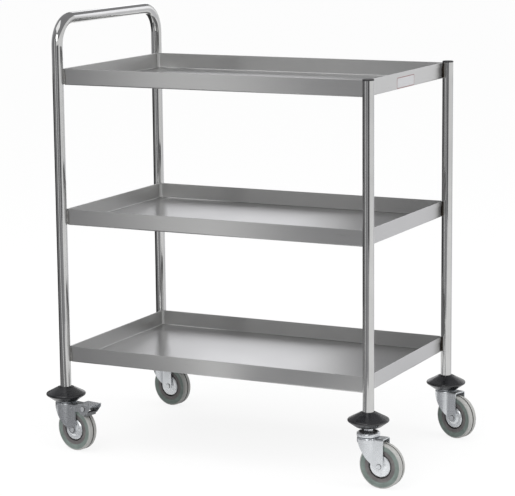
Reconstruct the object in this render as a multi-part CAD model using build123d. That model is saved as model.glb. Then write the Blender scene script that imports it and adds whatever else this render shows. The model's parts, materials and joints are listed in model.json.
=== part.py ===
from build123d import *
import math
import os

# Three-tier service trolley, in millimetres, +Z up, standing on z = 0.
# X runs along the trays with the handle at -X. Y runs across them with the front at -Y.
# The origin is under the middle of the trolley's outer box.

# Tubes
TUBE_D = 25.0
TUBE_WALL = 1.2
POST_SPACING_X = 760.0       # between the posts' axes
POST_SPACING_Y = 460.0
HANDLE_RISE = 111.0          # handle's axis above the top tray's rim
HANDLE_BEND_R = 60.0         # at the tube's axis
CAP_THICKNESS = 3.0
CAP_EDGE_R = 0.8
CAP_SPIGOT_LENGTH = 15.0

# Trays
TRAY_SHEET = 1.0
RIM_HEIGHT = 36.5
HEM_HEIGHT = 10.0
RIM_EDGE_R = 0.9             # along the rim's folded top
TRAY_PITCH = 320.0
CORNER_CHAMFER = 5.5         # leg of the 45 degree corner, on the hem's face
CORNER_BEND_R = 4.5          # on the hem's face
FLOOR_BEND_R = 3.0           # outside the wall
WELD_GAP = 0.58              # between the hem's corner face and the tube
WELD_WIDTH = 9.0
WELD_REACH = 1.5             # in sheet thicknesses, under the hem
WELD_END_MARGIN = 2.0        # from the rim's top and from the tray's underside
FOOT_LENGTH = 62.5           # bottom tray's underside above the tubes' lower ends

# Wheels
WHEEL_D = 100.0
TYRE_WIDTH = 25.0
TYRE_SHOULDER_R = 4.0
TYRE_BEVEL = 3.0             # sidewall's slope down to the rim, along the radius
TREAD_GROOVE_WIDTH = 2.6
TREAD_GROOVE_DEPTH = 2.5
WHEEL_RIM_D = 72.0
WHEEL_RIM_INSET = 1.0        # rim's face behind the tyre's face
RIM_RECESS_D = 55.0
RIM_WEB = 8.0
HUB_D = 19.0
HUB_END_GAP = 0.4            # hub's end to the thread guard
SLEEVE_D = 12.0
AXLE_D = 8.0
AXLE_HEAD_D = 12.5
AXLE_HEAD_HEIGHT = 1.8
GUARD_D = 49.0
GUARD_SHEET = 1.0
GUARD_CLAMP_D = 21.0         # flat that the fork's leg clamps
GUARD_STEP_D = 31.0          # foot of the dished step
GUARD_DISH = 2.4
GUARD_LIP = 2.0

# Castor forks
TRAIL = 33.5
FORK_SHEET = 2.0
FORK_SIDE_GAP = 2.5          # tyre to the leg's inside
FORK_CROWN_GAP = 8.5         # tyre to the crown's underside
FORK_BEND_R = 4.0
FORK_WAIST_R = 8.0
FORK_BOSS_R = 10.0
FORK_FOOT_START = 228.0      # degrees round the boss, where the leg's front edge ends
FORK_FOOT_MIDDLE = 300.0
FORK_SKIRT = 8.0             # depth of the rolled front edge
FORK_NECK_X = 16.0           # leg's front edge starts this far ahead of the swivel axis
FORK_NECK_DROP = 12.0        # and this far below the crown
FORK_LEG_BULGE = 2.0

# Swivel heads
HEAD_D = 51.0
HEAD_BEAD = 5.0              # radial width of the cup's rolled rim
HEAD_SHOULDER_R = 4.6        # of that rim's upper edge
HEAD_SKIRT_R = 1.9           # and its lower edge
CROWN_INSET = 0.5            # fork's crown inside the cup's rim
HEAD_RIM_GAP = 1.0           # fork's crown to the cup's rim
HEAD_RECESS = 2.6
CUP_SHEET = 2.0
LOWER_RACE_HEIGHT = 2.0
BALL_D = 6.0
BALL_GROOVE = 0.8
BALL_SPACING = 1.3           # in ball diameters
SEAL_THICKNESS = 1.2
STEM_D = 12.0
STEM_HEAD_D = 20.0
STEM_HEAD_HEIGHT = 3.0
STEM_TIP_GAP = 2.0           # stem's tip below the plug's top
COLLAR_HEIGHT = 20.6
COLLAR_INSET = 3.0           # hexagon's flats inside the tube's outside
PLUG_LENGTH = 30.0

# Bumpers
BUMPER_D = 91.0
BUMPER_TOP_D = 37.0
BUMPER_LOWER_HEIGHT = 14.0
BUMPER_UPPER_HEIGHT = 16.5
BUMPER_EDGE_R = 3.5
BUMPER_SKIRT = 2.7           # wall round the swivel head, at the lower edge
BUMPER_CLEARANCE = 3.0       # lower edge above the fork's crown

# Brakes
PIVOT_CLEARANCE = 15.07      # rivet's axis outside the tread
PIVOT_TURN = 56.73           # degrees, the rivet's place round the axle, up from its rear
BRAKE_ARM_R = 7.5            # round end of the arm, about the rivet
BRAKE_ARM_TOP = 2.0          # below the crown, where the arm leaves the leg
BRAKE_ARM_ROOT = 15.0        # height of the arm there
RIVET_D = 7.0
RIVET_HEAD_D = 13.0
RIVET_HEAD_HEIGHT = 2.0
PIN_HEAD_ROUND = 0.8         # of a head's height
PEDAL_SHEET = 1.8
PEDAL_BEND_R = 3.0
PEDAL_LOBE_R = 15.5
PEDAL_LOBE_END = -50.0       # degrees round the rivet, where the lobe meets the flange's lower edge
PEDAL_RISE = 10.3            # pedal's top above the rivet's axis
PEDAL_FLANGE_REACH = 22.0    # behind the rivet's axis
PEDAL_FLANGE_DROP = 7.0      # flange's rear end below the pedal's top
PEDAL_REACH = 25.5
PEDAL_LIP_LENGTH = 5.0
PEDAL_LIP_RISE = 1.5
PEDAL_TRAVEL = 12.0          # degrees, from released to braked
SHOE_FRONT = 3.0             # ahead of the rivet's axis
SHOE_REAR = 7.0              # behind it
SHOE_GAP = 2.5               # below the fork's arms
SHOE_HEIGHT = 7.5
SHOE_STANDOFF = 0.3          # from the tyre when braked

# Fits
SNUG_FIT = 0.05              # radial, between pieces that stay together
RUNNING_FIT = 0.05           # radial, between pieces that turn on each other
PLAY = 0.3                   # along an axis, between pieces that turn on each other
OVERRUN = 10.0               # length by which a cutting shape passes what it cuts

# Where each castor points: degrees about its stem, 0 trails towards +X
CASTOR_ANGLE = {"front_left": -12.0, "rear_left": -12.0, "front_right": -4.0, "rear_right": -19.0}
CORNER_SIGN = {"front_left": (-1, -1), "rear_left": (-1, 1), "front_right": (1, -1), "rear_right": (1, 1)}
BRAKED = ("front_left", "rear_left")
BUMPER_LIFT = {"front_right": 19.0}    # pushed up its tube; the others sit on their castors

# Heights, from the floor up
wheel_r = WHEEL_D / 2
fork_top = WHEEL_D + FORK_CROWN_GAP + FORK_SHEET
lower_race_top = fork_top + LOWER_RACE_HEIGHT
ball_z = lower_race_top - BALL_GROOVE + BALL_D / 2
cup_underside = ball_z + BALL_D / 2 - BALL_GROOVE
cup_top = cup_underside + CUP_SHEET
head_top = cup_top + HEAD_RECESS
tube_end = cup_top + COLLAR_HEIGHT
bottom_tray_z = tube_end + FOOT_LENGTH
tray_z = {
    "bottom_tray": bottom_tray_z,
    "middle_tray": bottom_tray_z + TRAY_PITCH,
    "top_tray": bottom_tray_z + 2 * TRAY_PITCH,
}
rim_top = tray_z["top_tray"] + RIM_HEIGHT
handle_z = rim_top + HANDLE_RISE

# Plan
tube_r = TUBE_D / 2
tube_bore_r = tube_r - TUBE_WALL
rim_to_post = ((tube_r + WELD_GAP) * math.sqrt(2) - CORNER_CHAMFER) / 2
tray_length = POST_SPACING_X - 2 * rim_to_post
tray_width = POST_SPACING_Y - 2 * rim_to_post


def wheel_reach(angle):
    """How far a castor's tyre reaches from its stem towards +X."""
    turn = math.radians(abs(angle))
    straight = TRAIL + wheel_r - TYRE_SHOULDER_R
    flat = TYRE_WIDTH / 2 - TYRE_SHOULDER_R
    return straight * math.cos(turn) + flat * math.sin(turn) + TYRE_SHOULDER_R


right_reach = max(wheel_reach(CASTOR_ANGLE[corner]) for corner in ("front_right", "rear_right"))
frame_x = (BUMPER_D / 2 - right_reach) / 2

# Castor, in its own frame: swivel axis on Z, trailing towards +X, axle along Y
axle_x = TRAIL
axle_z = wheel_r
leg_outside = TYRE_WIDTH / 2 + FORK_SIDE_GAP + FORK_SHEET
leg_inside = leg_outside - FORK_SHEET
crown_r = HEAD_D / 2 - CROWN_INSET
fork_rear = axle_x + FORK_BOSS_R
bead_bore_r = HEAD_D / 2 - HEAD_BEAD
race_outer_r = bead_bore_r - PLAY
ball_pitch_r = race_outer_r - BALL_D / 2
race_inner_r = ball_pitch_r - BALL_D / 2
collar_r = (tube_r - COLLAR_INSET) / math.cos(math.radians(30))
sleeve_half = leg_inside - GUARD_SHEET
pivot_reach = wheel_r + PIVOT_CLEARANCE
pivot_x = axle_x + pivot_reach * math.cos(math.radians(PIVOT_TURN))
pivot_z = axle_z + pivot_reach * math.sin(math.radians(PIVOT_TURN))
flange_inside = leg_outside + PLAY
flange_outside = flange_inside + PEDAL_SHEET
pedal_top = pivot_z + PEDAL_RISE


def post_place(corner):
    """Centre of a corner's post, at floor level."""
    sign_x, sign_y = CORNER_SIGN[corner]
    return Pos(frame_x + sign_x * POST_SPACING_X / 2, sign_y * POST_SPACING_Y / 2, 0)


def castor_place(corner):
    """Places a piece from the castor's own frame under its post."""
    return post_place(corner) * Rot(0, 0, CASTOR_ANGLE[corner])


def outline(*points):
    """Closed flat shape with straight sides."""
    return make_face(Polyline(*points, close=True))


def lathe(profile):
    """Turns a flat shape of (radius, height) about Z."""
    return revolve(Plane.XZ * profile, Axis.Z)


def ring(outer_r, inner_r, low, high):
    """Upright tube, or a disc where inner_r is 0."""
    body = Pos(0, 0, (low + high) / 2) * Cylinder(outer_r, high - low)
    if inner_r > 0:
        body -= Pos(0, 0, (low + high) / 2) * Cylinder(inner_r, high - low)
    return body


def side_plate(view, low_y, high_y):
    """Gives a side view, drawn as (x, z), a thickness from low_y to high_y."""
    return Pos(0, high_y, 0) * extrude(Plane.XZ * view, high_y - low_y)


def cross_pin(radius, x, z, half_length):
    """Round bar along Y."""
    return side_plate(Pos(x, z) * Circle(radius), -half_length, half_length)


def wheel_lathe(profile):
    """Turns a flat shape of (radius, distance along the axle) about the wheel's axle."""
    return Pos(axle_x, 0, axle_z) * Rot(90, 0, 0) * lathe(profile)


# Tubes


def handle_frame():
    """One bent tube: the left-hand posts and the push handle."""
    x = frame_x - POST_SPACING_X / 2
    y = POST_SPACING_Y / 2
    path = FilletPolyline(
        (x, -y, tube_end), (x, -y, handle_z), (x, y, handle_z), (x, y, tube_end), radius=HANDLE_BEND_R
    )
    section = Circle(tube_r) - Circle(tube_bore_r)
    return sweep(Plane(origin=path @ 0, z_dir=path % 0) * section, path=path)


def post():
    return ring(tube_r, tube_bore_r, tube_end, rim_top)


def post_cap():
    disc = ring(tube_r, 0, rim_top, rim_top + CAP_THICKNESS)
    disc = fillet(disc.edges().group_by(Axis.Z)[-1], CAP_EDGE_R)
    return disc + ring(tube_bore_r - SNUG_FIT, 0, rim_top - CAP_SPIGOT_LENGTH, rim_top)


def leg_plug():
    """Plug pressed into the tube's foot, bored for the stem's thread."""
    return ring(tube_bore_r - SNUG_FIT, STEM_D / 2 + SNUG_FIT, tube_end, tube_end + PLUG_LENGTH)


# Trays


def tray_block(inset, low, high):
    """Solid with the tray's plan, inset from the hem's face, its upright edges rounded."""
    x = tray_length / 2 - inset
    y = tray_width / 2 - inset
    leg = CORNER_CHAMFER - inset * (2 - math.sqrt(2))
    plan = outline(
        (x, y - leg), (x - leg, y), (leg - x, y), (-x, y - leg),
        (-x, leg - y), (leg - x, -y), (x - leg, -y), (x, leg - y),
    )
    block = Pos(0, 0, low) * extrude(plan, high - low)
    return fillet(block.edges().filter_by(Axis.Z), CORNER_BEND_R - inset)


def tray_envelope():
    """The tray with its inside filled, resting on z = 0."""
    pan = tray_block(TRAY_SHEET, 0, RIM_HEIGHT)
    pan = fillet(pan.edges().group_by(Axis.Z)[0], FLOOR_BEND_R)
    return pan + tray_block(0, RIM_HEIGHT - HEM_HEIGHT, RIM_HEIGHT)


def tray():
    """Folded sheet: floor, upright rim and a hem turned outwards and down."""
    hollow = tray_block(2 * TRAY_SHEET, TRAY_SHEET, RIM_HEIGHT + OVERRUN)
    hollow = fillet(hollow.edges().group_by(Axis.Z)[0], FLOOR_BEND_R - TRAY_SHEET)
    body = tray_envelope() - hollow
    return fillet(body.edges().group_by(Axis.Z)[-1], RIM_EDGE_R)


def corner_weld(corner):
    """Weld that fills the gap between a tray's chamfered corner and its tube."""
    sign_x, sign_y = CORNER_SIGN[corner]
    inward = math.degrees(math.atan2(-sign_y, -sign_x))
    depth = tube_r + WELD_GAP + WELD_REACH * TRAY_SHEET
    height = RIM_HEIGHT - 2 * WELD_END_MARGIN
    bead = Pos(depth / 2, 0, RIM_HEIGHT / 2) * Box(depth, WELD_WIDTH, height)
    bead -= ring(tube_r, 0, 0, RIM_HEIGHT)
    return post_place(corner) * Rot(0, 0, inward) * bead - Pos(frame_x, 0, 0) * tray_envelope()


# Bumpers


def bumper():
    """Rubber double cone round the tube's foot, sitting over the swivel head."""
    bore_r = tube_r + SNUG_FIT
    seat_r = HEAD_D / 2 + PLAY
    base = fork_top + BUMPER_CLEARANCE
    waist = base + BUMPER_LOWER_HEIGHT
    top = waist + BUMPER_UPPER_HEIGHT
    edge = Pos(BUMPER_D / 2 - BUMPER_EDGE_R, waist) * Circle(BUMPER_EDGE_R)
    core = Polyline((seat_r + BUMPER_SKIRT, base), (bore_r, base), (bore_r, top), (BUMPER_TOP_D / 2, top))
    cone = lathe(make_hull(edge.edges() + core.edges()))
    return cone - ring(seat_r, 0, base, head_top)


# Swivel heads


def stem():
    """Threaded stem with its hexagon collar, riveted over under the fork's crown."""
    head_high = fork_top - FORK_SHEET - PLAY
    head = ring(STEM_HEAD_D / 2, 0, head_high - STEM_HEAD_HEIGHT, head_high)
    head = fillet(head.edges().group_by(Axis.Z)[0], STEM_HEAD_HEIGHT / 2)
    shank = ring(STEM_D / 2, 0, head_high, tube_end + PLUG_LENGTH - STEM_TIP_GAP)
    collar = Pos(0, 0, cup_top) * extrude(RegularPolygon(collar_r, 6), COLLAR_HEIGHT)
    return head + shank + collar


def ball_track(z):
    """Ring-shaped groove that the balls run in."""
    return Pos(0, 0, z) * Torus(ball_pitch_r, BALL_D / 2 + RUNNING_FIT)


def upper_race():
    """Pressed cup of the swivel head, with a rolled rim and the upper ball groove."""
    bead_low = fork_top + HEAD_RIM_GAP
    outer = HEAD_D / 2
    bead = outline((bead_bore_r, bead_low), (outer, bead_low), (outer, head_top), (bead_bore_r, head_top))
    bead = fillet(bead.vertices().group_by(Axis.X)[-1].sort_by(Axis.Y)[-1], HEAD_SHOULDER_R)
    bead = fillet(bead.vertices().group_by(Axis.Y)[0].sort_by(Axis.X)[-1], HEAD_SKIRT_R)
    rim = lathe(bead)
    plate = ring(bead_bore_r, STEM_D / 2 + SNUG_FIT, cup_underside, cup_top)
    return rim + plate - ball_track(ball_z)


def swivel_seal():
    """Dark washer in the cup's recess, round the collar."""
    return ring(bead_bore_r - SNUG_FIT, collar_r + SNUG_FIT, cup_top, cup_top + SEAL_THICKNESS)


def swivel_balls():
    count = int(2 * math.pi * ball_pitch_r / (BALL_D * BALL_SPACING))
    return [
        Rot(0, 0, 360 * step / count) * Pos(ball_pitch_r, 0, ball_z) * Sphere(BALL_D / 2)
        for step in range(count)
    ]


# Forks and brakes


def fork_plan(inset, rear):
    """Crown's outline from above: round at the front, straight legs behind."""
    legs = Pos(rear / 2, 0) * Rectangle(rear, 2 * (leg_outside - inset))
    plan = Circle(crown_r - inset) + legs
    waist = plan.vertices().filter_by(lambda corner: 0 < corner.X < rear - OVERRUN / 2)
    return fillet(waist, FORK_WAIST_R + inset)


def fork_side():
    """Leg's outline from the side: sloped front edge, round foot, upright rear edge."""
    front = -crown_r - OVERRUN
    top = fork_top + OVERRUN
    neck = (-FORK_NECK_X, fork_top - FORK_NECK_DROP)
    foot_turn = math.radians(FORK_FOOT_START)
    foot = (axle_x + FORK_BOSS_R * math.cos(foot_turn), axle_z + FORK_BOSS_R * math.sin(foot_turn))
    under_turn = math.radians(FORK_FOOT_MIDDLE)
    under = (axle_x + FORK_BOSS_R * math.cos(under_turn), axle_z + FORK_BOSS_R * math.sin(under_turn))
    run = math.dist(neck, foot)
    across = ((foot[1] - neck[1]) / run, (neck[0] - foot[0]) / run)
    middle = (
        (neck[0] + foot[0]) / 2 + FORK_LEG_BULGE * across[0],
        (neck[1] + foot[1]) / 2 + FORK_LEG_BULGE * across[1],
    )
    return make_face(
        Polyline((fork_rear, axle_z), (fork_rear, top), (front, top), (front, fork_top - FORK_SKIRT), neck)
        + ThreePointArc(neck, middle, foot)
        + ThreePointArc(foot, under, (fork_rear, axle_z))
    )


def brake_arms():
    """Rearward arms of a braked fork, which carry the pedal's rivet."""
    start = fork_rear - FORK_BEND_R
    high = fork_top - BRAKE_ARM_TOP
    root = Line((start, high - BRAKE_ARM_ROOT), (start, high))
    end = Pos(pivot_x, pivot_z) * Circle(BRAKE_ARM_R)
    view = make_hull(end.edges() + root.edges())
    return side_plate(view, leg_inside, leg_outside) + side_plate(view, -leg_outside, -leg_inside)


def fork(braked):
    """Pressed fork: crown, rolled front and two legs, with the lower ball groove on the crown."""
    rear = fork_rear + OVERRUN
    outer = extrude(fork_plan(0, rear), fork_top)
    outer = fillet(outer.edges().group_by(Axis.Z)[-1], FORK_BEND_R)
    hollow = extrude(fork_plan(FORK_SHEET, rear + OVERRUN), fork_top - FORK_SHEET)
    hollow = fillet(hollow.edges().group_by(Axis.Z)[-1], FORK_BEND_R - FORK_SHEET)
    body = (outer - hollow) & side_plate(fork_side(), -HEAD_D, HEAD_D)
    if braked:
        body += brake_arms()
        body -= cross_pin(RIVET_D / 2 + SNUG_FIT, pivot_x, pivot_z, leg_outside + OVERRUN)
    body += ring(race_outer_r, race_inner_r, fork_top, lower_race_top)
    body -= ball_track(ball_z)
    body -= ring(STEM_D / 2 + RUNNING_FIT, 0, fork_top - OVERRUN, fork_top + OVERRUN)
    return body - cross_pin(AXLE_D / 2 + SNUG_FIT, axle_x, axle_z, leg_outside + OVERRUN)


def headed_pin(radius, head_r, head_height, x, z, grip):
    """Pin along Y with a low domed head at each end."""
    head = outline((0, grip), (head_r, grip), (head_r, grip + head_height), (0, grip + head_height))
    head = fillet(head.vertices().sort_by(Axis.X)[-2:].sort_by(Axis.Y)[-1], PIN_HEAD_ROUND * head_height)
    dome = lathe(head)
    heads = Rot(90, 0, 0) * dome + Rot(-90, 0, 0) * dome
    return cross_pin(radius, x, z, grip) + Pos(x, 0, z) * heads


def axle():
    return headed_pin(AXLE_D / 2, AXLE_HEAD_D / 2, AXLE_HEAD_HEIGHT, axle_x, axle_z, leg_outside)


def brake_rivet():
    grip = flange_outside + PLAY
    return headed_pin(RIVET_D / 2, RIVET_HEAD_D / 2, RIVET_HEAD_HEIGHT, pivot_x, pivot_z, grip)


def axle_sleeve():
    """Tube clamped between the thread guards; the wheel turns on it."""
    return wheel_lathe(outline(
        (AXLE_D / 2 + SNUG_FIT, -sleeve_half), (SLEEVE_D / 2, -sleeve_half),
        (SLEEVE_D / 2, sleeve_half), (AXLE_D / 2 + SNUG_FIT, sleeve_half),
    ))


def thread_guards():
    """Pair of dished discs clamped between the fork's legs and the sleeve."""
    hole_r = AXLE_D / 2 + SNUG_FIT
    flat = leg_inside
    step = flat - GUARD_DISH
    lip = step - GUARD_LIP
    lip_start = GUARD_D / 2 - GUARD_LIP
    face = [
        (hole_r, flat), (GUARD_CLAMP_D / 2, flat), (GUARD_STEP_D / 2, step),
        (lip_start, step), (GUARD_D / 2, lip),
    ]
    back = [(radius, height - GUARD_SHEET) for radius, height in reversed(face)]
    disc = lathe(outline(*face, *back))
    return [Pos(axle_x, 0, axle_z) * Rot(turn, 0, 0) * disc for turn in (90, -90)]


def brake_pedal():
    """Channel-shaped pedal that straddles the fork's arms, with a flared tip."""
    front = pivot_x - PEDAL_LOBE_R
    rear = pivot_x + PEDAL_FLANGE_REACH
    lobe_turn = math.radians(PEDAL_LOBE_END)
    lobe_end = (pivot_x + PEDAL_LOBE_R * math.cos(lobe_turn), pivot_z + PEDAL_LOBE_R * math.sin(lobe_turn))
    flange_low = pedal_top - PEDAL_FLANGE_DROP
    view = make_face(
        Polyline(lobe_end, (rear, flange_low), (rear, pedal_top), (front, pedal_top), (front, pivot_z))
        + ThreePointArc((front, pivot_z), (pivot_x, pivot_z - PEDAL_LOBE_R), lobe_end)
    )
    channel = side_plate(view, -flange_outside, flange_outside)
    channel = fillet(channel.edges().filter_by(Axis.X).group_by(Axis.Z)[-1], PEDAL_BEND_R)
    length = rear - front + 2 * OVERRUN
    depth = PEDAL_RISE + PEDAL_LOBE_R + OVERRUN
    hollow = Box(length, 2 * flange_inside, depth)
    hollow = fillet(hollow.edges().filter_by(Axis.X).group_by(Axis.Z)[-1], PEDAL_BEND_R - PEDAL_SHEET)
    channel -= Pos((front + rear) / 2, 0, pedal_top - PEDAL_SHEET - depth / 2) * hollow
    tip = pivot_x + PEDAL_REACH
    bend = tip - PEDAL_LIP_LENGTH
    top_line = [(rear - OVERRUN, pedal_top), (bend, pedal_top), (tip, pedal_top + PEDAL_LIP_RISE)]
    under_line = [(x, z - PEDAL_SHEET) for x, z in reversed(top_line)]
    half_width = flange_outside - PEDAL_BEND_R
    channel += side_plate(outline(*top_line, *under_line), -half_width, half_width)
    return channel - cross_pin(RIVET_D / 2 + RUNNING_FIT, pivot_x, pivot_z, flange_outside + OVERRUN)


def brake_shoe():
    """Bar between the pedal's lobes; its hollow face meets the tyre when the pedal is down."""
    turn = math.radians(PIVOT_TURN + PEDAL_TRAVEL)
    braked_axle = (pivot_x - pivot_reach * math.cos(turn), pivot_z - pivot_reach * math.sin(turn))
    front = pivot_x - SHOE_FRONT
    rear = pivot_x + SHOE_REAR
    high = pivot_z - BRAKE_ARM_R - SHOE_GAP
    low = high - SHOE_HEIGHT
    view = outline((front, low), (rear, low), (rear, high), (front, high))
    view -= Pos(*braked_axle) * Circle(wheel_r + SHOE_STANDOFF)
    return side_plate(view, -flange_inside, flange_inside)


# Wheels


def tyre():
    seat_r = WHEEL_RIM_D / 2
    half = TYRE_WIDTH / 2
    seat_half = half - WHEEL_RIM_INSET
    groove = TREAD_GROOVE_WIDTH / 2
    groove_r = wheel_r - TREAD_GROOVE_DEPTH
    one_side = [
        (seat_r, seat_half), (seat_r + TYRE_BEVEL, half), (wheel_r, half),
        (wheel_r, groove), (groove_r, groove / 2),
    ]
    other_side = [(radius, -width) for radius, width in reversed(one_side)]
    section = outline(*one_side, *other_side)
    tread = section.vertices().group_by(Axis.X)[-1]
    shoulders = tread.filter_by(lambda corner: abs(corner.Y) > half - PLAY)
    return wheel_lathe(fillet(shoulders, TYRE_SHOULDER_R))


def wheel_rim():
    """Moulded centre: seat for the tyre, recess for the guards, web and hub."""
    seat_half = TYRE_WIDTH / 2 - WHEEL_RIM_INSET
    hub_half = sleeve_half - HUB_END_GAP
    one_side = [
        (SLEEVE_D / 2 + RUNNING_FIT, hub_half), (HUB_D / 2, hub_half), (HUB_D / 2, RIM_WEB / 2),
        (RIM_RECESS_D / 2, RIM_WEB / 2), (RIM_RECESS_D / 2, seat_half), (WHEEL_RIM_D / 2, seat_half),
    ]
    other_side = [(radius, -width) for radius, width in reversed(one_side)]
    return wheel_lathe(outline(*one_side, *other_side))


def build_nodes():
    """Every piece in its place, by node name."""
    nodes = {"handle_frame": handle_frame()}
    for side in ("front", "rear"):
        place = post_place(f"{side}_right")
        nodes[f"{side}_right_post"] = place * post()
        nodes[f"{side}_post_cap"] = place * post_cap()
    welds = [corner_weld(corner) for corner in CORNER_SIGN]
    one_tray = Pos(frame_x, 0, 0) * tray()
    for name, z in tray_z.items():
        nodes[name] = Pos(0, 0, z) * one_tray
        nodes[f"{name}_welds"] = Compound([Pos(0, 0, z) * weld.solid() for weld in welds])

    fixed = {"leg_plug": leg_plug(), "stem": stem(), "upper_race": upper_race(), "bumper": bumper()}
    turning = {"axle": axle(), "axle_sleeve": axle_sleeve(), "wheel_rim": wheel_rim(), "tyre": tyre()}
    brake = {"brake_pedal": brake_pedal(), "brake_shoe": brake_shoe(), "brake_rivet": brake_rivet()}
    forks = {braked: fork(braked) for braked in (True, False)}
    guards = thread_guards()
    balls = []
    seals = []
    for corner in CORNER_SIGN:
        place = castor_place(corner)
        braked = corner in BRAKED
        for name, piece in fixed.items():
            lift = BUMPER_LIFT.get(corner, 0) if name == "bumper" else 0
            nodes[f"{corner}_{name}"] = place * Pos(0, 0, lift) * piece
        nodes[f"{corner}_fork"] = place * forks[braked]
        for name, piece in (turning | brake if braked else turning).items():
            nodes[f"{corner}_{name}"] = place * piece
        nodes[f"{corner}_thread_guards"] = Compound([(place * disc).solid() for disc in guards])
        balls += [(place * ball).solid() for ball in swivel_balls()]
        seals.append((place * swivel_seal()).solid())
    nodes["swivel_balls"] = Compound(balls)
    nodes["swivel_seals"] = Compound(seals)
    return nodes


os.makedirs("parts", exist_ok=True)
for node, shape in build_nodes().items():
    export_step(shape, f"parts/{node}.step")
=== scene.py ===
import json
import math
import bpy
from mathutils import Matrix, Vector


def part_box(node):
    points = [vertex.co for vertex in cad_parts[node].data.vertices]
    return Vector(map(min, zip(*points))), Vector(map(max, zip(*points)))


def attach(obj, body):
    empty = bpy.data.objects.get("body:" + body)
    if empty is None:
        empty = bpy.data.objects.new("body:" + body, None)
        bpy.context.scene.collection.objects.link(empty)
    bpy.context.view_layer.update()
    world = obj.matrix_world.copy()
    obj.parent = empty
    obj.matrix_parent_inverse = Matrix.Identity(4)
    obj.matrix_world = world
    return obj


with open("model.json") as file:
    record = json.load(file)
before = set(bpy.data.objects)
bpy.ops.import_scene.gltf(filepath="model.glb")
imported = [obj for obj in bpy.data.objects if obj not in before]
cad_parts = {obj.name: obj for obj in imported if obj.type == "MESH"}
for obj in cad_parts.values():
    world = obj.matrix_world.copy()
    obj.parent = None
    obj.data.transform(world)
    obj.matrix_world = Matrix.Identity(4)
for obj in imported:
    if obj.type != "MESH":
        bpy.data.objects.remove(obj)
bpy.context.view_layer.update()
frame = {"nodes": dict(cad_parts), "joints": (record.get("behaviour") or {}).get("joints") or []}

scene = bpy.context.scene
nodes = frame["nodes"]
joints = {joint["name"]: joint for joint in frame["joints"]}

CORNERS = ("front_left", "rear_left", "front_right", "rear_right")
BRAKED_CORNERS = ("front_left", "rear_left")
TRAYS = ("top_tray", "middle_tray", "bottom_tray")
AXLE_HEAD_RADIUS = 0.00625
BRAKE_RIVET_RADIUS = 0.0065

FRONT_RIM = (0.0, -0.22)
SCREEN_DISTANCE = 3.2
AMBIENT_STRENGTH = 0.28
FLOOR_GLOW = 0.87
DAYLIGHT_SPREAD = 80


# Camera and stage


def set_up_camera():
    """Stands where the photograph was taken from: in front, to the right and above the top tray."""
    focal_pixels, image_width = 2121.3, 515
    place = Vector((2.1159, -4.3098, 1.3147))
    turn_left, look_down, roll = (math.radians(angle) for angle in (26.315, 10.101, -0.55))
    data = bpy.data.cameras.new("photo_camera")
    data.sensor_width = 36.0
    data.lens = data.sensor_width * focal_pixels / image_width
    data.clip_end = 200.0
    camera = bpy.data.objects.new("photo_camera", data)
    scene.collection.objects.link(camera)
    turn = Matrix.Rotation(turn_left, 4, "Z") @ Matrix.Rotation(math.pi / 2 - look_down, 4, "X")
    camera.matrix_world = Matrix.Translation(place) @ turn @ Matrix.Rotation(roll, 4, "Z")
    scene.camera = camera


def seen_directly(tree):
    """1 for rays from the camera, from a mirror-like surface or through glass, otherwise 0."""
    light_path = tree.nodes.new("ShaderNodeLightPath")
    glossy = tree.nodes.new("ShaderNodeMath")
    glossy.operation = "MAXIMUM"
    tree.links.new(light_path.outputs["Is Camera Ray"], glossy.inputs[0])
    tree.links.new(light_path.outputs["Is Glossy Ray"], glossy.inputs[1])
    through = tree.nodes.new("ShaderNodeMath")
    through.operation = "MAXIMUM"
    tree.links.new(glossy.outputs[0], through.inputs[0])
    tree.links.new(light_path.outputs["Is Transmission Ray"], through.inputs[1])
    return through.outputs[0]


def set_up_world():
    """White surroundings that give the object a soft overall light."""
    world = bpy.data.worlds.new("white_studio")
    world.use_nodes = True
    tree = world.node_tree
    tree.nodes.clear()
    ambient = tree.nodes.new("ShaderNodeBackground")
    ambient.inputs["Color"].default_value = (1.0, 1.0, 1.0, 1.0)
    ambient.inputs["Strength"].default_value = AMBIENT_STRENGTH
    backdrop = tree.nodes.new("ShaderNodeBackground")
    backdrop.inputs["Color"].default_value = (1.0, 1.0, 1.0, 1.0)
    backdrop.inputs["Strength"].default_value = 1.0
    mix = tree.nodes.new("ShaderNodeMixShader")
    output = tree.nodes.new("ShaderNodeOutputWorld")
    tree.links.new(seen_directly(tree), mix.inputs["Fac"])
    tree.links.new(ambient.outputs[0], mix.inputs[1])
    tree.links.new(backdrop.outputs[0], mix.inputs[2])
    tree.links.new(mix.outputs[0], output.inputs["Surface"])
    scene.world = world


def floor_material():
    """Pale floor: white where it is seen, with a soft shadow under the object."""
    material = bpy.data.materials.new("pale_floor")
    material.use_nodes = True
    tree = material.node_tree
    tree.nodes.clear()
    matt = tree.nodes.new("ShaderNodeBsdfDiffuse")
    matt.inputs["Color"].default_value = (0.94, 0.94, 0.94, 1.0)
    glow = tree.nodes.new("ShaderNodeEmission")
    glow.inputs["Strength"].default_value = 1.0
    share = tree.nodes.new("ShaderNodeMath")
    share.operation = "MULTIPLY"
    share.inputs[1].default_value = FLOOR_GLOW
    mix = tree.nodes.new("ShaderNodeMixShader")
    output = tree.nodes.new("ShaderNodeOutputMaterial")
    tree.links.new(seen_directly(tree), share.inputs[0])
    tree.links.new(share.outputs[0], mix.inputs["Fac"])
    tree.links.new(matt.outputs[0], mix.inputs[1])
    tree.links.new(glow.outputs[0], mix.inputs[2])
    tree.links.new(mix.outputs[0], output.inputs["Surface"])
    return material


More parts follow.
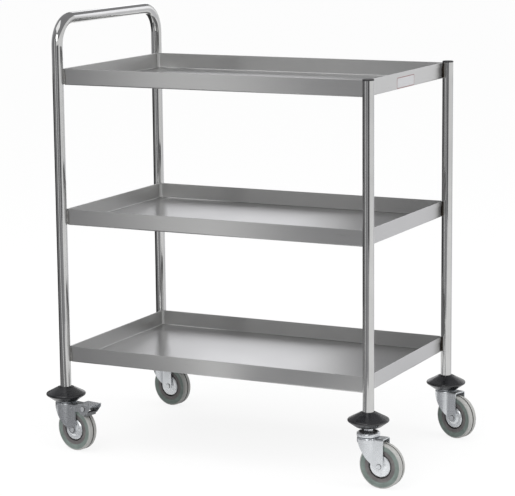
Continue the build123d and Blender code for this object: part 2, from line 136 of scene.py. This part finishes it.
def card_material(name, tone):
    """Cloth of a card that the steel mirrors, in one tone of grey."""
    material = bpy.data.materials.new(name)
    material.use_nodes = True
    tree = material.node_tree
    tree.nodes.clear()
    cloth = tree.nodes.new("ShaderNodeEmission")
    cloth.inputs["Color"].default_value = (tone, tone, tone * 1.03, 1.0)
    output = tree.nodes.new("ShaderNodeOutputMaterial")
    tree.links.new(cloth.outputs[0], output.inputs["Surface"])
    return material


def add_card(name, corners, faces, tone):
    """Card of the stage that only mirror-like surfaces see."""
    mesh = bpy.data.meshes.new(name)
    mesh.from_pydata(corners, [], faces)
    mesh.materials.append(card_material(name, tone))
    card = bpy.data.objects.new(name, mesh)
    scene.collection.objects.link(card)
    card.visible_camera = False
    card.visible_diffuse = False
    card.visible_shadow = False
    card.visible_transmission = False


def stand_screen(name, first, last, near, low, high, tone, spot=(0.0, 0.0)):
    """Grey cloth along the floor and up a screen, between two bearings from +X as seen from a spot."""
    far = SCREEN_DISTANCE
    bearings = [math.radians(angle) for angle in (first, last)]
    rays = [Vector((math.cos(bearing), math.sin(bearing), 0.0)) for bearing in bearings]
    corners = [rays[0] * near, rays[1] * near, rays[1] * far, rays[0] * far, rays[1] * far, rays[0] * far]
    heights = (low, low, low, low, high, high)
    corners = [corner + Vector((*spot, height)) for corner, height in zip(corners, heights)]
    faces = [(3, 2, 4, 5)]
    if near < far:
        faces.append((0, 1, 2, 3))
    add_card(name, corners, faces, tone)


def lay_cloth(name, half_length, half_width, height, tone):
    """Level card over the object, or under it as painted shade of the floor, that only mirror-like surfaces
    see.
    """
    corners = [(x * half_length, y * half_width, height) for x, y in ((-1, -1), (1, -1), (1, 1), (-1, 1))]
    add_card(name, corners, [(0, 1, 2, 3)], tone)


def hang_softbox(name, place, target, width, height, power, mirrored=True):
    """Rectangular lamp that looks at a target, and that mirror-like surfaces may show."""
    data = bpy.data.lights.new(name, "AREA")
    data.shape = "RECTANGLE"
    data.size, data.size_y = width, height
    data.energy = power
    lamp = bpy.data.objects.new(name, data)
    lamp.visible_glossy = mirrored
    scene.collection.objects.link(lamp)
    away = Vector(place) - Vector(target)
    lamp.matrix_world = Matrix.Translation(place) @ away.to_track_quat("Z", "Y").to_matrix().to_4x4()


def let_in_daylight(name, away, strength):
    """Wide soft light from above that falls evenly on the whole floor."""
    data = bpy.data.lights.new(name, "SUN")
    data.energy = strength
    data.angle = math.radians(DAYLIGHT_SPREAD)
    lamp = bpy.data.objects.new(name, data)
    lamp.visible_glossy = False
    scene.collection.objects.link(lamp)
    lamp.matrix_world = Vector(away).to_track_quat("Z", "Y").to_matrix().to_4x4()


def set_up_stage():
    """Floor, the cards round the object and the lamps."""
    bpy.ops.object.select_all(action="DESELECT")
    bpy.ops.mesh.primitive_plane_add(size=90.0, location=(0.0, 0.0, -0.0005))
    floor = bpy.context.object
    floor.name = "floor"
    floor.data.materials.append(floor_material())
    stand_screen("screen_front", 291, 312, SCREEN_DISTANCE, 0.002, 1.1, 0.1)
    stand_screen("cloth_front", 279, 308, 1.3, 0.0018, 0.01, 0.38)
    stand_screen("screen_front_edge", 275, 291, SCREEN_DISTANCE, 0.002, 1.1, 0.42)
    stand_screen("screen_front_right", 312, 324, SCREEN_DISTANCE, 0.002, 1.1, 0.5)
    stand_screen("screen_front_left", 245.5, 274, 0.05, 0.0015, 2.2, 0.31, FRONT_RIM)
    stand_screen("cloth_front_near", 274, 286, 0.3, 0.0016, 0.01, 0.31, FRONT_RIM)
    stand_screen("screen_left", 188, 236, 0.3, 0.0015, 2.2, 0.25, FRONT_RIM)
    stand_screen("screen_left_rear", 127, 198, 0.8, 0.002, 0.65, 0.05)
    stand_screen("screen_left_rear_edge", 127, 133, SCREEN_DISTANCE, 0.65, 2.6, 0.05)
    stand_screen("screen_left_rear_top", 133, 198, SCREEN_DISTANCE, 0.65, 2.6, 0.45)
    stand_screen("screen_rear", 97, 111, 0.8, 0.002, 2.4, 0.3)
    stand_screen("strip_light_rear", 113, 125, SCREEN_DISTANCE, 0.55, 2.6, 1.6)
    stand_screen("screen_right_rear", 38, 80, 0.6, 0.002, 0.6, 0.84)
    stand_screen("strip_light_right", 64, 78, SCREEN_DISTANCE, 1.0, 2.4, 1.5)
    lay_cloth("ceiling_cloth", 7.0, 7.0, 3.7, 0.33)
    # Painted shade: a grey card under the trolley, seen only in the steel, stands for the shaded floor
    # beneath it.
    lay_cloth("painted_floor_shade_card", 0.33, 0.2, 0.002, 0.42)
    hang_softbox("softbox_top", (-0.6, -0.9, 3.6), (0.0, 0.0, 0.45), 3.0, 3.0, 32.0)
    hang_softbox("softbox_right", (3.4, 0.2, 2.2), (0.0, 0.0, 0.5), 2.4, 2.6, 60.0, mirrored=False)
    hang_softbox("softbox_front", (0.6, -4.4, 3.0), (0.0, 0.0, 0.5), 2.4, 2.0, 60.0)
    let_in_daylight("overhead_daylight", (-0.3, -0.6, 3.0), 2.0)


# Effects that several finishes share


def start_group(name, inputs, outputs):
    """Empty node group with its sockets, its input node and its output node."""
    group = bpy.data.node_groups.new(name, "ShaderNodeTree")
    for socket, kind in inputs:
        group.interface.new_socket(name=socket, in_out="INPUT", socket_type=kind)
    for socket, kind in outputs:
        group.interface.new_socket(name=socket, in_out="OUTPUT", socket_type=kind)
    return group, group.nodes.new("NodeGroupInput"), group.nodes.new("NodeGroupOutput")


def grain_group():
    """Fine lines left by brushing or polishing: noise drawn out along one direction."""
    group, given, made = start_group(
        "brushed_grain",
        [("Vector", "NodeSocketVector"), ("Stretch", "NodeSocketVector")],
        [("Lines", "NodeSocketFloat")],
    )
    drawn = group.nodes.new("ShaderNodeMapping")
    noise = group.nodes.new("ShaderNodeTexNoise")
    noise.inputs["Scale"].default_value = 1.0
    noise.inputs["Detail"].default_value = 5.0
    noise.inputs["Roughness"].default_value = 0.65
    spread = group.nodes.new("ShaderNodeMapRange")
    spread.inputs["From Min"].default_value = 0.3
    spread.inputs["From Max"].default_value = 0.7
    group.links.new(given.outputs["Vector"], drawn.inputs["Vector"])
    group.links.new(given.outputs["Stretch"], drawn.inputs["Scale"])
    group.links.new(drawn.outputs["Vector"], noise.inputs["Vector"])
    group.links.new(noise.outputs["Fac"], spread.inputs["Value"])
    group.links.new(spread.outputs["Result"], made.inputs["Lines"])
    return group


def smudge_group():
    """Soft uneven patches, as handling and wiping leave them."""
    group, given, made = start_group(
        "smudges",
        [("Vector", "NodeSocketVector"), ("Size", "NodeSocketFloat")],
        [("Patches", "NodeSocketFloat")],
    )
    noise = group.nodes.new("ShaderNodeTexNoise")
    noise.inputs["Detail"].default_value = 3.0
    noise.inputs["Roughness"].default_value = 0.55
    noise.inputs["Distortion"].default_value = 0.6
    spread = group.nodes.new("ShaderNodeMapRange")
    spread.interpolation_type = "SMOOTHSTEP"
    spread.inputs["From Min"].default_value = 0.35
    spread.inputs["From Max"].default_value = 0.68
    group.links.new(given.outputs["Vector"], noise.inputs["Vector"])
    group.links.new(given.outputs["Size"], noise.inputs["Scale"])
    group.links.new(noise.outputs["Fac"], spread.inputs["Value"])
    group.links.new(spread.outputs["Result"], made.inputs["Patches"])
    return group


def turned_group():
    """Distance from the turning axis, and pressed or turned rings around it."""
    group, given, made = start_group(
        "turned_rings",
        [("Vector", "NodeSocketVector"), ("Pitch", "NodeSocketFloat")],
        [("Radius", "NodeSocketFloat"), ("Rings", "NodeSocketFloat")],
    )
    split = group.nodes.new("ShaderNodeSeparateXYZ")
    flat = group.nodes.new("ShaderNodeCombineXYZ")
    length = group.nodes.new("ShaderNodeVectorMath")
    length.operation = "LENGTH"
    turns = group.nodes.new("ShaderNodeMath")
    turns.operation = "DIVIDE"
    wave = group.nodes.new("ShaderNodeMath")
    wave.operation = "SINE"
    group.links.new(given.outputs["Vector"], split.inputs[0])
    group.links.new(split.outputs["X"], flat.inputs["X"])
    group.links.new(split.outputs["Y"], flat.inputs["Y"])
    group.links.new(flat.outputs[0], length.inputs[0])
    group.links.new(length.outputs["Value"], turns.inputs[0])
    group.links.new(given.outputs["Pitch"], turns.inputs[1])
    group.links.new(turns.outputs[0], wave.inputs[0])
    group.links.new(length.outputs["Value"], made.inputs["Radius"])
    group.links.new(wave.outputs[0], made.inputs["Rings"])
    return group


GRAIN = grain_group()
SMUDGES = smudge_group()
TURNED = turned_group()


# Finishes


class Finish:
    """One material under construction: its node tree and the few steps that the finishes share."""

    def __init__(self, name):
        self.material = bpy.data.materials.new(name)
        self.material.use_nodes = True
        self.tree = self.material.node_tree
        self.shader = self.tree.nodes["Principled BSDF"]
        self.place = self.tree.nodes.new("ShaderNodeTexCoord").outputs["Object"]

    def link(self, source, target):
        self.tree.links.new(source, target)

    def set(self, **sockets):
        for name, value in sockets.items():
            self.shader.inputs[name.replace("_", " ").title().replace("Ior", "IOR")].default_value = value

    def centred_on(self, centre, turn):
        """Object coordinates seen from a piece's own centre and axes."""
        mapping = self.tree.nodes.new("ShaderNodeMapping")
        mapping.vector_type = "TEXTURE"
        mapping.inputs["Location"].default_value = centre
        mapping.inputs["Rotation"].default_value = turn
        self.link(self.place, mapping.inputs["Vector"])
        return mapping.outputs["Vector"]

    def group(self, tree, vector, **values):
        node = self.tree.nodes.new("ShaderNodeGroup")
        node.node_tree = tree
        self.link(vector, node.inputs["Vector"])
        for name, value in values.items():
            node.inputs[name.title()].default_value = value
        return node

    def noise(self, vector, scale, detail=4.0):
        node = self.tree.nodes.new("ShaderNodeTexNoise")
        node.inputs["Scale"].default_value = scale
        node.inputs["Detail"].default_value = detail
        self.link(vector, node.inputs["Vector"])
        return node.outputs["Fac"]

    def split(self, vector):
        node = self.tree.nodes.new("ShaderNodeSeparateXYZ")
        self.link(vector, node.inputs[0])
        return node.outputs

    def range(self, value, low, high, to_low=0.0, to_high=1.0, smooth=False):
        node = self.tree.nodes.new("ShaderNodeMapRange")
        node.interpolation_type = "SMOOTHSTEP" if smooth else "LINEAR"
        for name, number in (("From Min", low), ("From Max", high), ("To Min", to_low), ("To Max", to_high)):
            node.inputs[name].default_value = number
        self.link(value, node.inputs["Value"])
        return node.outputs["Result"]

    def math(self, operation, first, second):
        node = self.tree.nodes.new("ShaderNodeMath")
        node.operation = operation
        for slot, value in enumerate((first, second)):
            if isinstance(value, (int, float)):
                node.inputs[slot].default_value = value
            else:
                self.link(value, node.inputs[slot])
        return node.outputs[0]

    def weigh(self, first, second, share):
        """Sum of two masks, of which the first has the given share."""
        part = self.math("MULTIPLY", first, share)
        return self.math("ADD", part, self.math("MULTIPLY", second, 1.0 - share))

    def blend(self, mask, first, second):
        """Colour that goes from first to second as the mask goes from 0 to 1."""
        node = self.tree.nodes.new("ShaderNodeMix")
        node.data_type = "RGBA"
        self.link(mask, node.inputs["Factor"])
        sockets = [s for s in node.inputs if s.type == "RGBA"]
        for socket, colour in zip(sockets, (first, second)):
            if isinstance(colour, tuple):
                socket.default_value = (*colour, 1.0)
            else:
                self.link(colour, socket)
        return next(s for s in node.outputs if s.type == "RGBA")

    def bump(self, height, distance, strength=1.0):
        node = self.tree.nodes.new("ShaderNodeBump")
        node.inputs["Strength"].default_value = strength
        node.inputs["Distance"].default_value = distance
        self.link(height, node.inputs["Height"])
        self.link(node.outputs["Normal"], self.shader.inputs["Normal"])

    def colour(self, value):
        self.link(value, self.shader.inputs["Base Color"])

    def roughness(self, value):
        self.link(value, self.shader.inputs["Roughness"])


def satin_tray(name, low, high):
    """Satin sheet: the brushing runs along the tray, and along the two short rims."""
    finish = Finish(name)
    finish.set(metallic=1.0, anisotropic=0.8, anisotropic_rotation=0.25)
    lengthways = finish.group(GRAIN, finish.place, stretch=(5.0, 1300.0, 1300.0)).outputs["Lines"]
    crossways = finish.group(GRAIN, finish.place, stretch=(1300.0, 5.0, 1300.0)).outputs["Lines"]
    from_middle = finish.math("SUBTRACT", finish.split(finish.place)["X"], (low.x + high.x) / 2)
    from_middle = finish.math("ABSOLUTE", from_middle, 0.0)
    end, rim_inside, rim_outside = (high.x - low.x) / 2, 0.0032, 0.0024
    short_rim = finish.range(from_middle, end - rim_inside, end - rim_outside)
    pick = finish.tree.nodes.new("ShaderNodeMix")
    finish.link(short_rim, pick.inputs[0])
    finish.link(lengthways, pick.inputs[2])
    finish.link(crossways, pick.inputs[3])
    lines = pick.outputs[0]
    along = finish.tree.nodes.new("ShaderNodeCombineXYZ")
    finish.link(finish.math("SUBTRACT", 1.0, short_rim), along.inputs["X"])
    finish.link(short_rim, along.inputs["Y"])
    finish.link(along.outputs[0], finish.shader.inputs["Tangent"])
    patches = finish.group(SMUDGES, finish.place, size=5.0).outputs["Patches"]
    tone = finish.weigh(lines, patches, 0.5)
    finish.colour(finish.blend(tone, (0.535, 0.535, 0.53), (0.575, 0.575, 0.57)))
    finish.roughness(finish.range(tone, 0.0, 1.0, 0.27, 0.34))
    finish.bump(lines, 0.00001, 0.2)
    return finish.material


def polished_tube(name):
    """Mirror-polished tube with faint lines along it and wiped patches."""
    finish = Finish(name)
    finish.set(metallic=1.0)
    lines = finish.group(GRAIN, finish.place, stretch=(700.0, 700.0, 14.0)).outputs["Lines"]
    patches = finish.group(SMUDGES, finish.place, size=14.0).outputs["Patches"]
    tone = finish.weigh(lines, patches, 0.5)
    finish.colour(finish.blend(tone, (0.5, 0.5, 0.495), (0.58, 0.58, 0.575)))
    finish.roughness(finish.range(tone, 0.0, 1.0, 0.05, 0.13))
    finish.bump(lines, 0.00001, 0.25)
    return finish.material


def weld_with_painted_shade(name):
    """Weld metal with its ripples, in a near-black colour that is painted shade of the gap between tray and
    tube, with a lighter, lit copy of the colour at the front left.
    """
    finish = Finish(name)
    finish.set(metallic=0.75)
    patches = finish.group(SMUDGES, finish.place, size=160.0).outputs["Patches"]
    ripples = finish.group(GRAIN, finish.place, stretch=(60.0, 60.0, 520.0)).outputs["Lines"]
    tone = finish.weigh(patches, ripples, 0.6)
    place = finish.split(finish.place)
    across = finish.math("ADD", place["X"], place["Y"])
    # Painted shade: the weld is near black at every corner except the front left, which gets a lighter, lit
    # copy of the colour.
    lit_corner_edge, gap_shade_from = -0.45, -0.35
    lit_corner_share = finish.range(across, lit_corner_edge, gap_shade_from, 1.0, 0.0)
    dark = finish.blend(tone, (0.012, 0.011, 0.01), (0.085, 0.068, 0.052))
    bright = finish.blend(tone, (0.26, 0.255, 0.245), (0.42, 0.415, 0.405))
    finish.colour(finish.blend(lit_corner_share, dark, bright))
    finish.roughness(finish.range(tone, 0.0, 1.0, 0.6, 0.42))
    finish.bump(ripples, 0.0003, 0.6)
    return finish.material


def black_plastic(name):
    """Moulded plastic with a matt, finely grained skin."""
    finish = Finish(name)
    finish.set(specular_ior_level=0.5)
    patches = finish.group(SMUDGES, finish.place, size=90.0).outputs["Patches"]
    finish.colour(finish.blend(patches, (0.012, 0.012, 0.013), (0.026, 0.026, 0.027)))
    finish.roughness(finish.range(patches, 0.0, 1.0, 0.4, 0.55))
    finish.bump(finish.noise(finish.place, 2600.0), 0.00004, 0.3)
    return finish.material


def black_rubber(name):
    """Moulded rubber: a slight sheen, a dusty bloom and a finely pitted skin."""
    finish = Finish(name)
    patches = finish.group(SMUDGES, finish.place, size=38.0).outputs["Patches"]
    pits = finish.noise(finish.place, 1500.0, 3.0)
    bloom = finish.math("MULTIPLY", patches, finish.range(pits, 0.35, 0.75))
    finish.set(specular_ior_level=0.64)
    finish.colour(finish.blend(bloom, (0.008, 0.0082, 0.0098), (0.02, 0.0207, 0.0225)))
    finish.roughness(finish.range(patches, 0.0, 1.0, 0.2, 0.31))
    finish.bump(pits, 0.00006, 0.35)
    return finish.material


def dark_seal(name):
    """Dark washer, greasy in places."""
    finish = Finish(name)
    patches = finish.group(SMUDGES, finish.place, size=120.0).outputs["Patches"]
    finish.colour(finish.blend(patches, (0.01, 0.01, 0.01), (0.03, 0.028, 0.026)))
    finish.roughness(finish.range(patches, 0.0, 1.0, 0.55, 0.75))
    return finish.material


def zinc_plate(name, dark=(0.62, 0.64, 0.66), bright=(0.66, 0.68, 0.7), rough=(0.24, 0.3)):
    """Bright zinc on pressed steel: faintly cloudy, with fine scratches."""
    finish = Finish(name)
    finish.set(metallic=0.93)
    clouds = finish.group(SMUDGES, finish.place, size=45.0).outputs["Patches"]
    scratches = finish.group(GRAIN, finish.place, stretch=(300.0, 300.0, 1500.0)).outputs["Lines"]
    tone = finish.weigh(clouds, scratches, 0.6)
    finish.colour(finish.blend(tone, dark, bright))
    finish.roughness(finish.range(tone, 0.0, 1.0, rough[1], rough[0]))
    finish.bump(scratches, 0.000002, 0.1)
    return finish.material


def pressed_guard(name, centre, turn):
    """Zinc disc with rings pressed round its middle."""
    finish = Finish(name)
    finish.set(metallic=0.5)
    local = finish.centred_on(centre, turn)
    turned = finish.group(TURNED, local, pitch=0.00062)
    clouds = finish.group(SMUDGES, finish.place, size=60.0).outputs["Patches"]
    finish.colour(finish.blend(clouds, (0.66, 0.68, 0.7), (0.73, 0.75, 0.77)))
    finish.roughness(finish.range(clouds, 0.0, 1.0, 0.3, 0.22))
    finish.bump(turned.outputs["Rings"], 0.00006, 0.4)
    return finish.material


def riveted_pin(name, centre, turn, head_radius):
    """Zinc pin whose riveted head has a dark ring of painted shade round its foot."""
    finish = Finish(name)
    finish.set(metallic=0.6)
    turned = finish.group(TURNED, finish.centred_on(centre, turn), pitch=0.0004)
    clouds = finish.group(SMUDGES, finish.place, size=90.0).outputs["Patches"]
    head = finish.blend(clouds, (0.56, 0.58, 0.6), (0.64, 0.66, 0.68))
    # Painted shade: a dark ring round the foot of the riveted head, where it meets the fork.
    shade_ring_inside, shade_ring_outside = head_radius - 0.0011, head_radius - 0.0006
    foot = finish.range(turned.outputs["Radius"], shade_ring_inside, shade_ring_outside)
    finish.colour(finish.blend(foot, head, (0.16, 0.16, 0.16)))
    finish.roughness(finish.range(clouds, 0.0, 1.0, 0.22, 0.3))
    finish.bump(turned.outputs["Rings"], 0.00003, 0.3)
    return finish.material


def grey_tyre(name, centre, turn):
    """Grey rubber: greenish sidewalls, a paler, scuffed tread and painted shade that darkens the groove
    round its middle.
    """
    finish = Finish(name)
    local = finish.centred_on(centre, turn)
    turned = finish.group(TURNED, local, pitch=0.0006)
    patches = finish.group(SMUDGES, finish.place, size=45.0).outputs["Patches"]
    scuffs = finish.noise(finish.place, 700.0, 5.0)
    tread_starts, tread_full, waver = 0.0462, 0.0470, 0.0003
    groove_inside, groove_outside = 0.0013, 0.0019
    wavering = finish.math("ADD", turned.outputs["Radius"], finish.range(scuffs, 0.0, 1.0, -waver, waver))
    tread = finish.range(wavering, tread_starts, tread_full, smooth=True)
    from_middle = finish.math("ABSOLUTE", finish.split(local)["Z"], 0.0)
    # Painted shade: the groove round the middle of the tread is coloured near black.
    groove_shade = finish.range(from_middle, groove_inside, groove_outside, 1.0, 0.0)
    sidewall = finish.blend(patches, (0.145, 0.178, 0.164), (0.185, 0.222, 0.206))
    tread_wear_and_groove_shade = finish.blend(finish.range(scuffs, 0.3, 0.75), (0.33, 0.33, 0.318), (0.44, 0.44, 0.428))
    tread_wear_and_groove_shade = finish.blend(groove_shade, tread_wear_and_groove_shade, (0.055, 0.055, 0.05))
    finish.colour(finish.blend(tread, sidewall, tread_wear_and_groove_shade))
    finish.roughness(finish.range(scuffs, 0.2, 0.8, 0.58, 0.78))
    skin = finish.math("ADD", finish.math("MULTIPLY", turned.outputs["Rings"], 0.1), scuffs)
    finish.bump(skin, 0.00008, 0.4)
    return finish.material


def grey_rim(name, centre, turn):
    """Moulded dark grey plastic with faint turning rings and dust."""
    finish = Finish(name)
    local = finish.centred_on(centre, turn)
    turned = finish.group(TURNED, local, pitch=0.0009)
    patches = finish.group(SMUDGES, finish.place, size=60.0).outputs["Patches"]
    dust_starts, dust_full = 0.026, 0.034
    dusty = finish.math("MULTIPLY", patches, finish.range(turned.outputs["Radius"], dust_starts, dust_full))
    finish.colour(finish.blend(dusty, (0.105, 0.098, 0.098), (0.165, 0.156, 0.154)))
    finish.roughness(finish.range(patches, 0.0, 1.0, 0.48, 0.66))
    finish.bump(turned.outputs["Rings"], 0.00006, 0.4)
    return finish.material


def plain_label(name, centre, width, height):
    """Blank silver foil with a thin printed border."""
    finish = Finish(name)
    finish.set(metallic=0.6)
    place = finish.split(finish.centred_on(centre, (0.0, 0.0, 0.0)))
    past_side = finish.math("SUBTRACT", finish.math("ABSOLUTE", place["Y"], 0.0), width / 2)
    past_top = finish.math("SUBTRACT", finish.math("ABSOLUTE", place["Z"], 0.0), height / 2)
    border_starts, border_full = -0.0016, -0.0012
    border = finish.range(finish.math("MAXIMUM", past_side, past_top), border_starts, border_full)
    fibres = finish.noise(finish.place, 900.0, 6.0)
    foil = finish.blend(fibres, (0.52, 0.52, 0.53), (0.6, 0.6, 0.61))
    finish.colour(finish.blend(border, foil, (0.26, 0.09, 0.08)))
    finish.roughness(finish.range(fibres, 0.3, 0.7, 0.32, 0.46))
    return finish.material


# Pieces that are modelled here


def start_piece():
    """Leaves nothing selected, so that the next operators act on the new piece alone."""
    bpy.ops.object.select_all(action="DESELECT")


def place_copy(source, name, matrix, body, material):
    """Own copy of a modelled piece, with its place in its mesh."""
    mesh = source.data.copy()
    mesh.transform(matrix)
    piece = bpy.data.objects.new(name, mesh)
    scene.collection.objects.link(piece)
    mesh.materials.clear()
    mesh.materials.append(material)
    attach(piece, body)
    return piece


def castor_frame(corner):
    """Matrix of a castor's own axes: swivel axis on Z, trailing towards X, on the floor."""
    swivel = Vector(joints[f"{corner}_swivel"]["pos_m"])
    axis = Vector(joints[f"{corner}_roll"]["axis"])
    turn = math.atan2(-axis.x, axis.y)
    return Matrix.Translation((swivel.x, swivel.y, 0.0)) @ Matrix.Rotation(turn, 4, "Z")


def wheel_axes(corner):
    """Centre of a wheel, and the turn that takes Z onto its axle."""
    roll = joints[f"{corner}_roll"]
    axis = roll["axis"]
    return tuple(roll["pos_m"]), (-math.pi / 2, 0.0, math.atan2(-axis[0], axis[1]))


def model_weld_ripples():
    """One run of weld beads up a corner: overlapping drops, each a little different."""
    radius, pitch, drops = 0.0014, 0.0017, 19
    start_piece()
    bpy.ops.mesh.primitive_uv_sphere_add(segments=14, ring_count=8, radius=radius)
    drop = bpy.context.object
    bpy.ops.object.mode_set(mode="EDIT")
    bpy.ops.mesh.select_all(action="SELECT")
    bpy.ops.transform.resize(value=(0.9, 0.75, 0.8))
    bpy.ops.object.mode_set(mode="OBJECT")
    run = drop.modifiers.new("run", "ARRAY")
    run.use_relative_offset = False
    run.use_constant_offset = True
    run.constant_offset_displace = (0.0, 0.0, pitch)
    run.count = drops
    bpy.ops.object.modifier_apply(modifier="run")
    bpy.ops.object.mode_set(mode="EDIT")
    bpy.ops.mesh.select_all(action="SELECT")
    bpy.ops.transform.vertex_random(offset=0.00018, uniform=0.2, normal=0.6, seed=7)
    bpy.ops.object.mode_set(mode="OBJECT")
    bpy.ops.object.shade_smooth()
    return drop


def model_arm_rivet():
    """Low domed rivet head, standing on z = 0."""
    radius, depth, middle, rounding = 0.0032, 0.0014, (0.0, 0.0, 0.0005), 0.0008
    start_piece()
    bpy.ops.mesh.primitive_cylinder_add(vertices=28, radius=radius, depth=depth, location=middle)
    rivet = bpy.context.object
    bpy.ops.object.transform_apply(location=True)
    bevel = rivet.modifiers.new("dome", "BEVEL")
    bevel.width = rounding
    bevel.segments = 4
    bpy.ops.object.modifier_apply(modifier="dome")
    bpy.ops.object.shade_smooth_by_angle(angle=math.radians(50))
    return rivet


def model_bumper_lip(inner, outer, height):
    """Soft rounded lip where a bumper grips its tube."""
    middle, half = (inner + outer) / 2, (outer - inner) / 2
    start_piece()
    bpy.ops.mesh.primitive_torus_add(
        major_radius=middle, minor_radius=half, major_segments=72, minor_segments=16
    )
    lip = bpy.context.object
    bpy.ops.object.mode_set(mode="EDIT")
    bpy.ops.mesh.select_all(action="SELECT")
    bpy.ops.transform.resize(value=(1.0, 1.0, height / half))
    bpy.ops.object.mode_set(mode="OBJECT")
    bpy.ops.object.shade_smooth()
    return lip


def model_label(width, height):
    """Thin label with rounded corners, in the YZ plane, facing +X."""
    corner_radius, foil = 0.003, 0.00015
    start_piece()
    bpy.ops.mesh.primitive_plane_add(size=1.0)
    label = bpy.context.object
    bpy.ops.object.mode_set(mode="EDIT")
    bpy.ops.mesh.select_all(action="SELECT")
    bpy.ops.transform.resize(value=(width, height, 1.0))
    bpy.ops.mesh.bevel(offset=corner_radius, segments=5, affect="VERTICES")
    bpy.ops.object.mode_set(mode="OBJECT")
    thick = label.modifiers.new("foil", "SOLIDIFY")
    thick.thickness = foil
    thick.offset = 0.0
    bpy.ops.object.modifier_apply(modifier="foil")
    label.data.transform(Matrix.Rotation(math.pi / 2, 4, "Z") @ Matrix.Rotation(math.pi / 2, 4, "X"))
    return label


def drop_pattern(source):
    """Removes the piece that the copies were made from."""
    bpy.data.objects.remove(source)


def add_welds(material):
    """Two runs of beads at each corner of each tray, where the weld meets the tube."""
    rise, reach, spread = 0.0012, 0.0124, 0.0051
    ripples = model_weld_ripples()
    for tray in TRAYS:
        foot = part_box(f"{tray}_welds")[0].z + rise
        for corner in CORNERS:
            post = Vector(joints[f"{corner}_swivel"]["pos_m"])
            inward = math.atan2(-math.copysign(1, post.y), -math.copysign(1, post.x))
            stand = Matrix.Translation((post.x, post.y, foot)) @ Matrix.Rotation(inward, 4, "Z")
            for side, offset in (("a", -spread), ("b", spread)):
                matrix = stand @ Matrix.Translation((reach, offset, 0.0))
                place_copy(ripples, f"{tray}_{corner}_bead_{side}", matrix, "frame", material)
    drop_pattern(ripples)


def add_castor_details(zinc):
    """Two rivets on each face of the braked castors' forks, over the axle."""
    face, drop, steps = 0.017, 0.003, (("a", -0.004), ("b", 0.0045))
    rivet = model_arm_rivet()
    for corner in BRAKED_CORNERS:
        castor = castor_frame(corner)
        pivot = castor.inverted() @ Vector(joints[f"{corner}_brake"]["pos_m"])
        axle = castor.inverted() @ Vector(joints[f"{corner}_roll"]["pos_m"])
        for side, out, turn in (("near", -face, math.pi / 2), ("far", face, -math.pi / 2)):
            for step, along in steps:
                spot = Matrix.Translation((axle.x + along, out, pivot.z - drop))
                matrix = castor @ spot @ Matrix.Rotation(turn, 4, "X")
                name = f"{corner}_arm_rivet_{side}_{step}"
                place_copy(rivet, name, matrix, f"{corner}_castor", zinc)
    drop_pattern(rivet)


def add_bumper_lips(rubber):
    """Lip on the top of each bumper, close round its tube."""
    inner, outer, height = 0.0126, 0.0156, 0.0016
    lip = model_bumper_lip(inner, outer, height)
    for corner in CORNERS:
        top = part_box(f"{corner}_bumper")[1].z
        post = Vector(joints[f"{corner}_swivel"]["pos_m"])
        matrix = Matrix.Translation((post.x, post.y, top))
        place_copy(lip, f"{corner}_bumper_lip", matrix, "frame", rubber)
    drop_pattern(lip)


def add_label():
    """Blank label on the right-hand rim of the top tray, under the hem."""
    low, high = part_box("top_tray")
    width, height = 0.099, 0.024
    under_hem, off_middle, rise = 0.00095, 0.0055, 0.0138
    centre = (high.x - under_hem, (low.y + high.y) / 2 - off_middle, low.z + rise)
    label = model_label(width, height)
    foil = plain_label("plain_label", centre, width, height)
    place_copy(label, "plain_label", Matrix.Translation(centre), "frame", foil)
    drop_pattern(label)


def dress(names, material):
    """Gives the named nodes one finish."""
    for name in names:
        mesh = nodes[name].data
        mesh.materials.clear()
        mesh.materials.append(material)


def corner_nodes(*pieces, corners=CORNERS):
    """Names of the same pieces at several corners."""
    return [f"{corner}_{piece}" for corner in corners for piece in pieces]


scene.view_settings.view_transform = "Standard"
set_up_camera()
set_up_world()
set_up_stage()

tube = polished_tube("polished_tube")
weld = weld_with_painted_shade("weld_with_painted_shade")
plastic = black_plastic("black_plastic")
rubber = black_rubber("black_rubber")
zinc = zinc_plate("zinc_plate")
dull_zinc = zinc_plate("dull_zinc", (0.2, 0.205, 0.21), (0.3, 0.305, 0.31), (0.4, 0.6))

dress(["handle_frame", "front_right_post", "rear_right_post"], tube)
for tray in TRAYS:
    dress([tray], satin_tray(f"satin_{tray}", *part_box(tray)))
    dress([f"{tray}_welds"], weld)
dress(["front_post_cap", "rear_post_cap"], plastic)
dress(corner_nodes("leg_plug"), plastic)
dress(corner_nodes("bumper"), rubber)
dress(["swivel_seals"], dark_seal("dark_seal"))
dress(corner_nodes("stem", "upper_race", "fork", "axle_sleeve") + ["swivel_balls"], zinc)
dress(corner_nodes("brake_pedal", corners=BRAKED_CORNERS), zinc)
dress(corner_nodes("brake_shoe", corners=BRAKED_CORNERS), dull_zinc)
for corner in CORNERS:
    centre, turn = wheel_axes(corner)
    dress([f"{corner}_axle"], riveted_pin(f"{corner}_riveted_pin", centre, turn, AXLE_HEAD_RADIUS))
    dress([f"{corner}_thread_guards"], pressed_guard(f"{corner}_pressed_guard", centre, turn))
    dress([f"{corner}_tyre"], grey_tyre(f"{corner}_grey_tyre", centre, turn))
    dress([f"{corner}_wheel_rim"], grey_rim(f"{corner}_grey_rim", centre, turn))
for corner in BRAKED_CORNERS:
    centre, turn = tuple(joints[f"{corner}_brake"]["pos_m"]), wheel_axes(corner)[1]
    dress([f"{corner}_brake_rivet"], riveted_pin(f"{corner}_brake_pin", centre, turn, BRAKE_RIVET_RADIUS))

add_welds(weld)
add_castor_details(zinc)
add_bumper_lips(rubber)
add_label()
